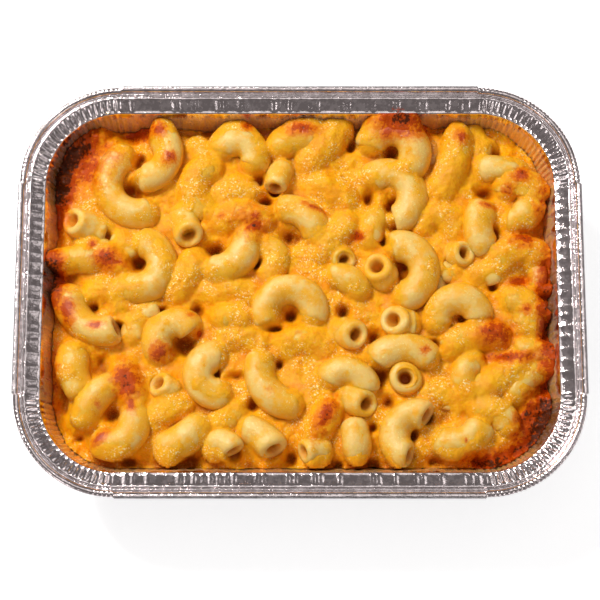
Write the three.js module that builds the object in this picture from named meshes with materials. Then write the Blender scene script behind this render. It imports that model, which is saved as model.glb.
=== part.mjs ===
// Oven-baked macaroni cheese in a ribbed foil tray: the stamped tray, and the food that fills it.
// Millimetres, +Z up, long side along X. The origin is on the resting plane, under the tray's centre.
import * as THREE from "three";

// Driving dimensions
const TOP_LENGTH = 180;
const TOP_WIDTH = 133;
const HEIGHT = 38;
const CORNER_RADIUS = 32.5; // of the rim's outer edge
const WALL_THICKNESS = 0.5;
const DRAFT = THREE.MathUtils.degToRad(12); // wall's lean from upright

// Rim section: inward distances from the outer edge, and depths below the top
const BEAD_RADIUS = 1.1; // curled edge
const FLANGE_DEPTH = 1.3; // flat strip inside the bead
const SHOULDER_OUTER = 4.1; // where the ribbed slope starts
const SHOULDER_INNER = 8.2; // where it ends
const SHOULDER_DROP = 2.5;
const LIP_DEPTH = FLANGE_DEPTH + SHOULDER_DROP + 0.4;
const LIP_INSET = SHOULDER_INNER + 0.4;

// Base
const BASE_FILLET = 4;
const FOOT_WIDTH = 5.5; // flat ring that the tray stands on
const PANEL_RISE = 0.8; // middle of the base, above the foot
const PANEL_SLOPE = 1.5;

// Pleats pressed into the wall and the shoulder
const PLEAT_DEPTH = 0.4;
const CORNER_STEPS = 10;
const LONG_STEPS = 10;
const SHORT_STEPS = 8;

// Food
const FIT_GAP = 0.75; // food's side to the wall, clear of the pleats
const FLOOR_GAP = 0.3;
const UNDERSIDE_DRAW_IN = 1.3; // food's underside, clear of the base fillet
const SAUCE_EDGE_LEVEL = 25;
const SAUCE_MIDDLE_LEVEL = 27.2;
const EDGE_FALL_POWER = 4; // how late the sauce falls away towards the wall
const FOOD_TOP_LEVEL = 33.2;
const FOOD_COLUMNS = 60;
const FOOD_ROWS = 43;

// Elbow macaroni
const TUBE_RADIUS = 5.1;
const BEND_RADIUS = 6.2; // of the tube's centreline
const HALF_BEND = THREE.MathUtils.degToRad(85);
const ELBOW_PITCH_X = 21.5;
const ELBOW_PITCH_Y = 19;
const ELBOW_JITTER = 0.3; // wander about the even rows, as a part of the pitch
const ELBOW_TOP_SPREAD = 2.6; // between the highest elbow's top and the lowest's
const ELBOW_TILT = 0.22; // rise along an elbow, as a slope

const foil = new THREE.MeshStandardMaterial({ color: 0xc9c7c9, roughness: 0.3, metalness: 1 });
const bakedPasta = new THREE.MeshStandardMaterial({ color: 0xf0a62e, roughness: 0.45, metalness: 0 });

const CORNER_X = TOP_LENGTH / 2 - CORNER_RADIUS;
const CORNER_Y = TOP_WIDTH / 2 - CORNER_RADIUS;

// Stations once round the tray, anticlockwise: a spot on the inner rectangle that joins the corners'
// centres, and the outward direction there. Every outline is a spot plus that direction times a radius.
function trayStations() {
  const corners = [
    [CORNER_X, CORNER_Y, 0, LONG_STEPS],
    [-CORNER_X, CORNER_Y, 90, SHORT_STEPS],
    [-CORNER_X, -CORNER_Y, 180, LONG_STEPS],
    [CORNER_X, -CORNER_Y, 270, SHORT_STEPS],
  ];
  return corners.flatMap(([x, y, startDegrees, sideSteps], k) => {
    const [nextX, nextY] = corners[(k + 1) % 4];
    const arc = Array.from({ length: CORNER_STEPS }, (_, i) => {
      const angle = THREE.MathUtils.degToRad(startDegrees + (90 * i) / CORNER_STEPS);
      return { x, y, outX: Math.cos(angle), outY: Math.sin(angle) };
    });
    const angle = THREE.MathUtils.degToRad(startDegrees + 90);
    const side = Array.from({ length: sideSteps }, (_, i) => ({
      x: THREE.MathUtils.lerp(x, nextX, i / sideSteps),
      y: THREE.MathUtils.lerp(y, nextY, i / sideSteps),
      outX: Math.cos(angle),
      outY: Math.sin(angle),
    }));
    return [...arc, ...side];
  });
}

// Inward distance of the wall's inner face from the rim's outer edge, at height z.
function wallInset(z) {
  return LIP_INSET + (HEIGHT - LIP_DEPTH - z) * Math.tan(DRAFT);
}

// The tray's section as [inset, height, pleated], from the base panel up the inner face, over the bead
// and back down the outer face.
function traySection() {
  const floor = WALL_THICKNESS;
  const filletZ = floor + BASE_FILLET;
  const filletInset = wallInset(filletZ) + BASE_FILLET / Math.cos(DRAFT);
  const fillet = [0, 0.5, 1].map((t) => {
    const angle = t * (Math.PI / 2 - DRAFT);
    return [filletInset - BASE_FILLET * Math.sin(angle), filletZ - BASE_FILLET * Math.cos(angle), t];
  });
  const footInner = filletInset + FOOT_WIDTH;
  const inner = [
    [footInner + PANEL_SLOPE, floor + PANEL_RISE, 0],
    [footInner, floor, 0],
    ...fillet,
    [wallInset(HEIGHT / 2), HEIGHT / 2, 1],
    [LIP_INSET, HEIGHT - LIP_DEPTH, 1],
    [SHOULDER_INNER, HEIGHT - FLANGE_DEPTH - SHOULDER_DROP, 1],
    [SHOULDER_OUTER, HEIGHT - FLANGE_DEPTH, 0],
  ];
  const bead = [0, 45, 90, 135, 180, 225, 270].map((degrees) => {
    const angle = THREE.MathUtils.degToRad(degrees);
    return [BEAD_RADIUS * (1 + Math.cos(angle)), HEIGHT - BEAD_RADIUS * (1 - Math.sin(angle)), 0];
  });
  const outer = inner.map((point, i) => {
    const before = inner[Math.max(i - 1, 0)];
    const after = inner[Math.min(i + 1, inner.length - 1)];
    const along = new THREE.Vector2(after[0] - before[0], after[1] - before[1]).normalize();
    return [point[0] + along.y * -WALL_THICKNESS, point[1] + along.x * WALL_THICKNESS, point[2]];
  });
  // The foot and the panel are flat underneath.
  const footEdge = filletInset;
  outer[0] = [footInner + PANEL_SLOPE, PANEL_RISE, 0];
  outer[1] = [footInner, 0, 0];
  outer[2] = [footEdge, 0, 0];
  return [...inner, ...bead, ...outer.reverse()];
}

// Joins rings of equal length into one closed skin, with a flat fan over the first and the last ring.
function skinOverRings(rings) {
  const count = rings[0].length;
  const points = rings.flat();
  const index = [];
  rings.slice(1).forEach((_, r) => {
    for (let i = 0; i < count; i++) {
      const a = r * count + i;
      const b = r * count + ((i + 1) % count);
      index.push(a, b + count, b, a, a + count, b + count);
    }
  });
  const last = (rings.length - 1) * count;
  const startHub = points.push([0, 0, rings[0][0][2]]) - 1;
  const endHub = points.push([0, 0, rings.at(-1)[0][2]]) - 1;
  for (let i = 0; i < count; i++) {
    const next = (i + 1) % count;
    index.push(startHub, i, next, endHub, last + next, last + i);
  }
  return geometryFrom(points, index);
}

function geometryFrom(points, index) {
  const geometry = new THREE.BufferGeometry();
  geometry.setAttribute("position", new THREE.Float32BufferAttribute(points.flat(), 3));
  geometry.setIndex(index);
  geometry.computeVertexNormals();
  return geometry;
}

function trayGeometry() {
  const stations = trayStations();
  const rings = traySection().map(([inset, z, pleated]) =>
    stations.map(({ x, y, outX, outY }, i) => {
      const reach = CORNER_RADIUS - inset + pleated * PLEAT_DEPTH * (i % 2);
      return [x + outX * reach, y + outY * reach, z];
    }),
  );
  return skinOverRings(rings);
}

// A repeatable value from 0 to 1 for a pair of whole numbers.
function scatter(i, j) {
  const wave = Math.sin(i * 127.1 + j * 311.7) * 43758.5453;
  return wave - Math.floor(wave);
}

// Elbows in staggered rows, each turned and tipped its own way. The bend's middle faces the heading.
function layElbows(halfLength, halfWidth) {
  const elbows = [];
  const columns = Math.ceil(halfLength / ELBOW_PITCH_X);
  const rows = Math.ceil(halfWidth / ELBOW_PITCH_Y);
  for (let i = -columns; i <= columns; i++) {
    for (let j = -rows; j <= rows; j++) {
      elbows.push({
        x: (i + 0.5 * (j & 1) + ELBOW_JITTER * (scatter(i, j) - 0.5)) * ELBOW_PITCH_X,
        y: (j + ELBOW_JITTER * (scatter(j, i + 40) - 0.5)) * ELBOW_PITCH_Y,
        heading: 2 * Math.PI * scatter(i + 7, j),
        tilt: ELBOW_TILT * (2 * scatter(i, j + 19) - 1),
        top: FOOD_TOP_LEVEL - ELBOW_TOP_SPREAD * scatter(i + 3, j + 5) - ELBOW_TILT * BEND_RADIUS,
      });
    }
  }
  return elbows;
}

// Height of an elbow's upper side over a spot, or minus infinity beside it.
function elbowHeight({ x, y, heading, tilt, top }, spotX, spotY) {
  const away = new THREE.Vector2(spotX - x, spotY - y).rotateAround(new THREE.Vector2(), -heading);
  const angle = THREE.MathUtils.clamp(away.angle() > Math.PI ? away.angle() - 2 * Math.PI : away.angle(),
    -HALF_BEND, HALF_BEND);
  const centre = new THREE.Vector2(Math.cos(angle), Math.sin(angle)).multiplyScalar(BEND_RADIUS);
  const offset = away.distanceTo(centre);
  if (offset >= TUBE_RADIUS) return -Infinity;
  return top - TUBE_RADIUS + tilt * centre.y + Math.sqrt(TUBE_RADIUS ** 2 - offset ** 2);
}

// The food: a grid over the tray's rounded outline, raised to the sauce and the elbows, with sides that
// follow the wall down to a flat underside.
function foodGeometry() {
  const inset = wallInset(SAUCE_EDGE_LEVEL) + FIT_GAP;
  const halfLength = TOP_LENGTH / 2 - inset;
  const halfWidth = TOP_WIDTH / 2 - inset;
  const radius = CORNER_RADIUS - inset;
  const elbows = layElbows(halfLength, halfWidth);

  // A square corner drawn in to a quarter circle; elsewhere a spot stays where it is.
  const rounded = (x, y) => {
    const s = Math.max(0, Math.abs(x) - CORNER_X) / radius;
    const t = Math.max(0, Math.abs(y) - CORNER_Y) / radius;
    if (s === 0 || t === 0) return [x, y];
    return [
      Math.sign(x) * (CORNER_X + radius * s * Math.sqrt(1 - (t * t) / 2)),
      Math.sign(y) * (CORNER_Y + radius * t * Math.sqrt(1 - (s * s) / 2)),
    ];
  };
  const surface = (x, y) => {
    const inward = (1 - (x / halfLength) ** EDGE_FALL_POWER) * (1 - (y / halfWidth) ** EDGE_FALL_POWER);
    const sauce = THREE.MathUtils.lerp(SAUCE_EDGE_LEVEL, SAUCE_MIDDLE_LEVEL, Math.max(0, inward));
    return Math.max(sauce, ...elbows.map((elbow) => elbowHeight(elbow, x, y)));
  };

  const points = [];
  const index = [];
  const at = (column, row) => row * (FOOD_COLUMNS + 1) + column;
  for (let row = 0; row <= FOOD_ROWS; row++) {
    for (let column = 0; column <= FOOD_COLUMNS; column++) {
      const [x, y] = rounded(
        halfLength * ((2 * column) / FOOD_COLUMNS - 1),
        halfWidth * ((2 * row) / FOOD_ROWS - 1),
      );
      points.push([x, y, surface(x, y)]);
    }
  }
  for (let row = 0; row < FOOD_ROWS; row++) {
    for (let column = 0; column < FOOD_COLUMNS; column++) {
      const near = at(column, row);
      const far = at(column, row + 1);
      index.push(near, near + 1, far + 1, near, far + 1, far);
    }
  }

  const edge = [
    ...Array.from({ length: FOOD_COLUMNS }, (_, i) => at(i, 0)),
    ...Array.from({ length: FOOD_ROWS }, (_, i) => at(FOOD_COLUMNS, i)),
    ...Array.from({ length: FOOD_COLUMNS }, (_, i) => at(FOOD_COLUMNS - i, FOOD_ROWS)),
    ...Array.from({ length: FOOD_ROWS }, (_, i) => at(0, FOOD_ROWS - i)),
  ];
  const underside = WALL_THICKNESS + PANEL_RISE + FLOOR_GAP;
  const bends = [WALL_THICKNESS + BASE_FILLET, underside];
  let above = edge;
  for (const z of bends) {
    const extra = z === underside ? UNDERSIDE_DRAW_IN : 0;
    const drawIn = wallInset(z) + FIT_GAP + extra - inset;
    const ring = edge.map((i) => {
      const [x, y] = points[i];
      const stemX = THREE.MathUtils.clamp(x, -CORNER_X, CORNER_X);
      const stemY = THREE.MathUtils.clamp(y, -CORNER_Y, CORNER_Y);
      const shrink = (radius - drawIn) / radius;
      return points.push([stemX + (x - stemX) * shrink, stemY + (y - stemY) * shrink, z]) - 1;
    });
    ring.forEach((lower, i) => {
      const next = (i + 1) % ring.length;
      index.push(above[i], lower, ring[next], above[i], ring[next], above[next]);
    });
    above = ring;
  }
  const hub = points.push([0, 0, underside]) - 1;
  above.forEach((i, k) => index.push(hub, above[(k + 1) % above.length], i));
  return geometryFrom(points, index);
}

const tray = new THREE.Mesh(trayGeometry(), foil);
tray.name = "foil_tray";

const food = new THREE.Mesh(foodGeometry(), bakedPasta);
food.name = "macaroni_cheese";

const meal = new THREE.Group();
meal.add(tray, food);

export default meal;
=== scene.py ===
"""Oven-baked macaroni cheese in a pressed foil tray.

Everything is worked out in millimetres, +Z up and the long side along X, and turned to metres when a
mesh is built. The pieces are the foil tray, the cheese sauce and the hollow elbows that stand in it.
"""
import math

import bpy
import numpy as np
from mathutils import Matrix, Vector


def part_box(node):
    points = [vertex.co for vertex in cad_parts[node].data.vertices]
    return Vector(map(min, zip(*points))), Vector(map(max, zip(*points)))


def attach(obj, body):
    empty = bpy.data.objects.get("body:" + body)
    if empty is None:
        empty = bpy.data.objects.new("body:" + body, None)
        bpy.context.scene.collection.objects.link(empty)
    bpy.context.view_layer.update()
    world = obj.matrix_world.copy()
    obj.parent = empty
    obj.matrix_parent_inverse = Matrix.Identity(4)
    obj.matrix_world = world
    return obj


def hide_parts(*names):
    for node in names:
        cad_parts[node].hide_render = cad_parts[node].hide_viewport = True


MM = 0.001
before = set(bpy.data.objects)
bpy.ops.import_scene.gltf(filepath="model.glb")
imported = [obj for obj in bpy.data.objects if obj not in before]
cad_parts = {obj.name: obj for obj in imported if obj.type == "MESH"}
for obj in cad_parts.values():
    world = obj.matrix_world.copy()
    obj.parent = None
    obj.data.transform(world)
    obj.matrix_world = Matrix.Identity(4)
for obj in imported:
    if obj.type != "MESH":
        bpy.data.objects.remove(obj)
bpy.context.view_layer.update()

# ---------------------------------------------------------------- tray sizes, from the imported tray
tray_low, tray_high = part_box("foil_tray")
HALF_LENGTH = (tray_high.x - tray_low.x) / 2 / MM
HALF_WIDTH = (tray_high.y - tray_low.y) / 2 / MM
HEIGHT = tray_high.z / MM
CORNER_RADIUS = 32.5
QUARTER = CORNER_RADIUS * math.pi / 2  # the way round one corner
ARC_X = HALF_LENGTH - CORNER_RADIUS  # middle of a corner's arc
ARC_Y = HALF_WIDTH - CORNER_RADIUS
DRAFT = math.radians(12)
FOIL = 0.2  # thickness
BEAD_RADIUS = 1.1
STRAIGHT_PROUD = 0.4  # straight beads stand this far outside the corners
LIP_LEVEL = 33.8  # where the shoulder turns down into the wall
LIP_INSET = 8.6


def wall_inset(z):
    """Distance of the wall's inner face inside the rim's outer edge: it grows by tan(draft) per mm down."""
    return LIP_INSET + (LIP_LEVEL - z) * math.tan(DRAFT)


def wall_reach(z, gap=0):
    """Radius of the inner wall's corner arcs at a height, less a gap."""
    return CORNER_RADIUS - wall_inset(z) - gap


# ---------------------------------------------------------------- small numpy tools
LATTICE = 97  # cells after which the random lattice repeats
LATTICE_X, LATTICE_Y = 41.37, 43.71  # its corner, in cells, which keeps its lines off the tray's middle


def smooth(low, high, x):
    """0 at low, 1 at high, and 3t^2 - 2t^3 between them; low may be the larger one."""
    t = np.clip((x - low) / (high - low), 0, 1)
    return t * t * (3 - 2 * t)


def wander(x, y, size, seed):
    """Smooth random value from -1 to 1: random numbers on a square lattice, size apart, blended by
    3t^2 - 2t^3. Each seed gives its own pattern."""
    lattice = np.random.default_rng(seed).uniform(-1, 1, (LATTICE, LATTICE))
    u, v = np.asarray(x) / size + LATTICE_X, np.asarray(y) / size + LATTICE_Y
    i, j = np.floor(u).astype(int), np.floor(v).astype(int)
    s, t = u - i, v - j
    s, t = s * s * (3 - 2 * s), t * t * (3 - 2 * t)
    i, j = i % LATTICE, j % LATTICE
    i1, j1 = (i + 1) % LATTICE, (j + 1) % LATTICE
    low = lattice[i, j] * (1 - s) + lattice[i1, j] * s
    high = lattice[i, j1] * (1 - s) + lattice[i1, j1] * s
    return low * (1 - t) + high * t


def cloud(x, y, size, seed, layers=4):
    """Sum of wanders, each half as wide and half as strong as the last, scaled to about -1 to 1."""
    total, weight = 0, 0
    for layer in range(layers):
        share = 0.5 ** layer
        total = total + share * wander(x, y, size * share, seed + 17 * layer)
        weight += share
    return total / weight * 1.5


def outward(x, y):
    """Distance outside the rectangle that joins the corner arcs' middles, and the unit direction outwards."""
    dx, dy = np.abs(x) - ARC_X, np.abs(y) - ARC_Y
    corner = (dx > 0) & (dy > 0)
    d = np.where(corner, np.hypot(dx, dy), np.maximum(dx, dy))
    safe = np.maximum(d, 1e-6)
    nx = np.where(corner, dx / safe, (dx >= dy) * 1.0) * np.sign(x)
    ny = np.where(corner, dy / safe, (dx < dy) * 1.0) * np.sign(y)
    return d, nx, ny


def spots(x, y, table):
    """Strongest of a table of soft spots at each point: strength * exp(-(u/a)^2 - (v/b)^2), with the offset
    (u, v) from its middle turned by its angle."""
    total = np.zeros_like(x)
    for cx, cy, a, b, turn, strength in table:
        near = (np.abs(x - cx) < 3 * max(a, b)) & (np.abs(y - cy) < 3 * max(a, b))
        c, s = math.cos(math.radians(turn)), math.sin(math.radians(turn))
        dx, dy = x[near] - cx, y[near] - cy
        u, v = c * dx + s * dy, c * dy - s * dx
        total[near] = np.maximum(total[near], strength * np.exp(-(u / a) ** 2 - (v / b) ** 2))
    return total


def blurred(grid, width):
    """Mean of a grid over a bell of that width in cells, by damping its waves, with the edges mirrored."""
    edge = 40
    wide = np.pad(grid, edge, mode="reflect")
    fu = np.fft.fftfreq(wide.shape[0])[:, None]
    fv = np.fft.rfftfreq(wide.shape[1])[None]
    bell = np.exp(-2 * (math.pi * width) ** 2 * (fu ** 2 + fv ** 2))
    return np.fft.irfft2(np.fft.rfft2(wide) * bell, wide.shape)[edge:-edge, edge:-edge]


def make_mesh(name, points, faces, attributes, material, replaced=()):
    """A smooth-shaded piece from points in mm and faces, with one float attribute for each named array."""
    mesh = bpy.data.meshes.new(name)
    mesh.from_pydata((points * MM).tolist(), [], faces)
    mesh.polygons.foreach_set("use_smooth", np.ones(len(mesh.polygons), bool))
    for label, values in attributes.items():
        layer = mesh.attributes.new(label, "FLOAT", "POINT")
        layer.data.foreach_set("value", np.ascontiguousarray(values, dtype=np.float32))
    mesh.update()
    piece = bpy.data.objects.new(name, mesh)
    bpy.context.collection.objects.link(piece)
    piece.data.materials.append(material)
    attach(piece, "root")
    for node in replaced:
        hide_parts(node)
    return piece


# ---------------------------------------------------------------- the elbows, in mm
# start, back of the bend and end of each centreline (x, y, z), tube radius, how far the sauce covers it
# (0 bare, 1 buried), and which ends it leaves open (1 start, 2 end, 3 both). Far rows come first, and
# those that lie deeper, between the others, come last.
ELBOWS = (
    (-56, 46, 26.5, -63, 35.8, 27.2, -47.8, 27.3, 26.8, 5, .1, 0),
    (-46.5, 53, 27.5, -42.6, 45, 28.6, -51.5, 38.2, 28.3, 4.9, .15, 0),
    (-28, 42, 27, -34.5, 35, 27.5, -30, 27, 26, 5, .8, 0),
    (-26.5, 46.5, 27, -18.5, 50.3, 27.6, -15.2, 41.7, 27, 5.1, .15, 0),
    (-8, 48.3, 26.5, -1, 51, 27.8, 6, 53, 26.5, 4.8, .4, 0),
    (-8.2, 34.4, 29.6, -7, 38.5, 28, -5, 42.5, 26.5, 4.2, .15, 1),
    (13.3, 54.5, 26.5, 8.5, 49, 27.5, 2, 43.5, 26, 4.8, .95, 0),
    (22.5, 48.5, 27, 33, 53.3, 29.3, 34.8, 40.5, 27.5, 5.1, .15, 0),
    (22.5, 37.5, 26.5, 36.5, 34, 27.5, 30.5, 24, 27, 5, .15, 0),
    (51.7, 51.5, 27.5, 49.7, 43, 28, 45, 33, 26.2, 4.9, .75, 0),
    (58.7, 41.3, 26, 65, 41.3, 27, 71.5, 39, 26, 4.8, .2, 0),
    (66.3, 33.5, 26.5, 72.2, 36.3, 28, 74, 31.5, 27, 4.6, .45, 0),
    (73.2, 30.5, 26.5, 73, 26.5, 27.5, 67.5, 23.8, 27, 4.7, .15, 0),
    (60, 28.5, 26.5, 57.4, 22, 28, 60, 14.8, 26.5, 4.9, .15, 0),
    (-73.4, 23.4, 31.3, -70.3, 22.6, 28, -62, 20, 26, 5.1, .1, 1),
    (-77, 10, 27, -71.5, 11.2, 27.8, -65, 10.3, 26.8, 4.7, .15, 0),
    (-68, 17, 26, -62.5, 12.4, 27.6, -57, 9, 26, 4.7, .95, 0),
    (-60, 18, 25, -57, 16.4, 25.6, -54, 13, 25, 4.6, .4, 0),
    (-35.4, 18, 31.3, -36.3, 20.5, 28.5, -38, 28, 25.8, 4.8, .1, 1),
    (-51.5, 17, 26.7, -43.7, 9.5, 28, -57, 3.3, 26.7, 5.1, .1, 0),
    (-33, 12, 26, -36.5, 6, 27.3, -40, 0, 26, 4.7, .95, 0),
    (-17, 20, 27, -20.4, 10, 28.3, -29, 7.8, 27, 5.1, .1, 0),
    (-13, 15.5, 26, -7.7, 12.2, 27, -11, 6.5, 26, 4.4, .5, 0),
    (-6, 27.7, 26.5, 2.7, 25, 28, 5.4, 18, 26.5, 4.8, .1, 0),
    (16, 23.5, 26, 11, 19, 27, 7, 13, 26, 4.8, .7, 0),
    (26.5, 26.5, 25.5, 23.3, 23, 26, 23, 16.5, 25.5, 4.5, .3, 0),
    (14.4, 10.6, 30.2, 13.8, 11.3, 28, 11.5, 14.5, 24.5, 4.1, .5, 1),
    (10.5, 6, 26.5, 16, 4.3, 27.5, 19.5, 0, 26.5, 4.6, .2, 0),
    (24.4, 8.5, 31.4, 25.4, 7.4, 28.5, 28.5, 4, 24.5, 5.2, .1, 1),
    (29.5, 15.3, 27, 39.7, 9, 28.3, 32, -1.2, 27, 5.1, .1, 0),
    (53, 12.8, 30.6, 52, 12.8, 28.5, 49, 13, 24.5, 4.3, .15, 1),
    (45.5, 8.5, 24.5, 47.5, 7.5, 25, 50, 7.5, 24.5, 4.3, .4, 0),
    (55.5, 5.5, 25, 59, 7, 26, 63, 4.5, 25, 4.3, .3, 0),
    (63.5, 9, 26, 69, 14.3, 27.6, 75, 12, 26, 4.9, .8, 0),
    (66, -1.5, 26.5, 72, -4.5, 27.5, 72, -12, 26.5, 5, .4, 0),
    (-73, 1, 27, -69.8, -9.3, 27, -58.3, -11.6, 29.4, 5, .1, 2),
    (-46, -4.2, 25, -51.3, -8.5, 26, -53.5, -15, 25.5, 4.1, .2, 0),
    (-43.7, -20.5, 26.7, -42.5, -10.2, 28, -34.3, -12, 27, 4.9, .15, 0),
    (-26, -8.3, 26.5, -22, -7.3, 27.3, -17.5, -9, 26.5, 4.4, .5, 0),
    (-10.3, -9.5, 26.5, -3.2, 1.3, 28, 4.2, -8.5, 26.5, 5, .1, 0),
    (18.1, -14, 31, 16.4, -13.4, 28.3, 12, -10.8, 25.2, 4.9, .15, 1),
    (29.3, -9.1, 31.2, 31.2, -9.4, 28.4, 36.5, -9.7, 25.8, 5, .1, 1),
    (44.3, -11, 26.6, 50.2, -1.7, 28.3, 57.2, -8.7, 27, 5, .1, 0),
    (24, -22, 27.5, 31.5, -17.7, 28.3, 41.5, -21.8, 26.7, 5, .1, 0),
    (47, -18, 26, 55, -13.7, 27.5, 63.5, -14, 27, 4.8, .85, 0),
    (69.5, -18.7, 26.5, 73.5, -18.2, 27, 76.5, -21.5, 26, 4.3, .3, 0),
    (53, -33, 26, 61, -28.5, 27.6, 70, -22, 26.5, 4.8, .9, 0),
    (56.7, -22.3, 26.5, 52, -26.5, 27.5, 54.5, -31.5, 26.5, 4.4, .4, 0),
    (76, -23.5, 25.5, 71.5, -27.5, 26.3, 67, -33, 25.5, 4.5, .35, 0),
    (-71, -17.8, 26.5, -71.8, -25.5, 27.5, -69, -32, 26.5, 4.9, .2, 0),
    (-57.3, -29.5, 26.5, -65, -34, 28.3, -67.8, -41.5, 27, 4.9, .1, 0),
    (-63.3, -46.5, 27, -55.2, -47.2, 28.4, -53.4, -37.5, 27.5, 5, .1, 0),
    (-57, -24, 26, -54, -30, 27.2, -52, -36, 26.3, 4.8, .95, 0),
    (-25.3, -20.3, 27, -32.2, -27, 28.3, -23.6, -32, 27, 5, .1, 0),
    (-45, -29.2, 30, -43.2, -30.3, 28, -39.5, -33.5, 26, 4.5, .4, 1),
    (-46, -41, 26, -42, -37.5, 27.3, -37, -36, 26, 4.6, .9, 0),
    (-43.7, -50, 26.5, -37, -47.3, 28.3, -31, -41.5, 26.7, 5.2, .1, 0),
    (-20.7, -50.9, 30.1, -24, -48.2, 28.4, -28.4, -50.2, 25.8, 4.7, .15, 1),
    (-27, -43, 25.5, -23, -40, 26.3, -19, -37, 25.5, 4.6, .5, 0),
    (-8, -50.6, 30.2, -11.3, -46.3, 28, -17.5, -43, 26, 5.1, .15, 1),
    (.9, -51.3, 30.3, 4.4, -50.5, 28.4, 8.3, -50.8, 26.2, 4.2, .15, 1),
    (9.8, -37, 26.5, 7, -41.5, 28, 4, -46, 26.5, 4.7, .8, 0),
    (-12, -20.8, 27, -11, -31.2, 28.3, -1, -35.8, 27, 5.1, .1, 0),
    (8.8, -28.3, 27, 15, -25.2, 28.3, 21, -31.3, 27, 5, .1, 0),
    (21.3, -36.3, 31, 19, -35.2, 28.3, 13.5, -32, 25.8, 5, .1, 1),
    (17, -42, 27, 17.7, -47, 28.2, 18, -51.6, 25.8, 4.6, .1, 0),
    (33.3, -27.8, 31.5, 33.4, -27.6, 28, 34.5, -27, 24, 5.2, .1, 1),
    (40, -39.8, 30.2, 29.8, -44.5, 27.2, 34.4, -52.4, 30, 5, .1, 3),
    (43.6, -47.1, 27, 51.3, -47.6, 28.3, 57.3, -42.3, 27, 4.8, .1, 0),
    (55, -37.5, 26, 62, -38, 27.2, 66, -43, 26, 4.6, .3, 0),
    (42.8, 51, 23, 43, 47, 23.5, 42, 42, 23, 4.4, .5, 0),
    (56, 53, 24, 58, 49.5, 24.5, 62, 47.5, 24, 4.4, .6, 0),
    (-34, 50, 24, -33, 47.5, 24.5, -30, 45, 24, 4.4, .5, 0),
    (-27, 23.3, 25.5, -19, 25.8, 27.4, -11.5, 24, 26.3, 4.8, .95, 0),
    (-26, 32, 25, -21, 34.5, 26.2, -15, 33.5, 25.2, 4.6, .9, 0),
    (3.5, 37, 24.8, 10, 34.5, 26, 15.5, 30.5, 25, 4.8, 1, 0),
    (39.5, 22, 24.6, 46, 26, 26, 50, 20, 25, 4.8, 1, 0),
    (-6, -17.5, 25.2, 1, -15, 26.3, 8, -17.5, 25.2, 4.8, .85, 0),
    (-24.5, -15, 25, -18, -14, 26, -13, -16.5, 25, 4.6, 1, 0),
    (40, -33, 24.5, 45.5, -32, 25.4, 49, -37, 24.5, 4.6, 1, 0),
    (-66, -2, 25.2, -62, 1.5, 26.2, -58, -3.5, 25.2, 4.6, .95, 0),
    (-28, 0, 25, -22, 2, 26, -16, 0, 25, 4.6, 1, 0),
    (45, 0, 24.5, 43, 4, 25, 44, 9, 24.5, 4.2, .8, 0),
    (76, 2, 25.5, 77, 6, 26.2, 75.5, 10, 25.5, 4, .8, 0),
)
BORE = 0.36  # of the tube's radius
PIT = 0.484  # of the sauce's opening at an open end, in the same shares
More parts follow.
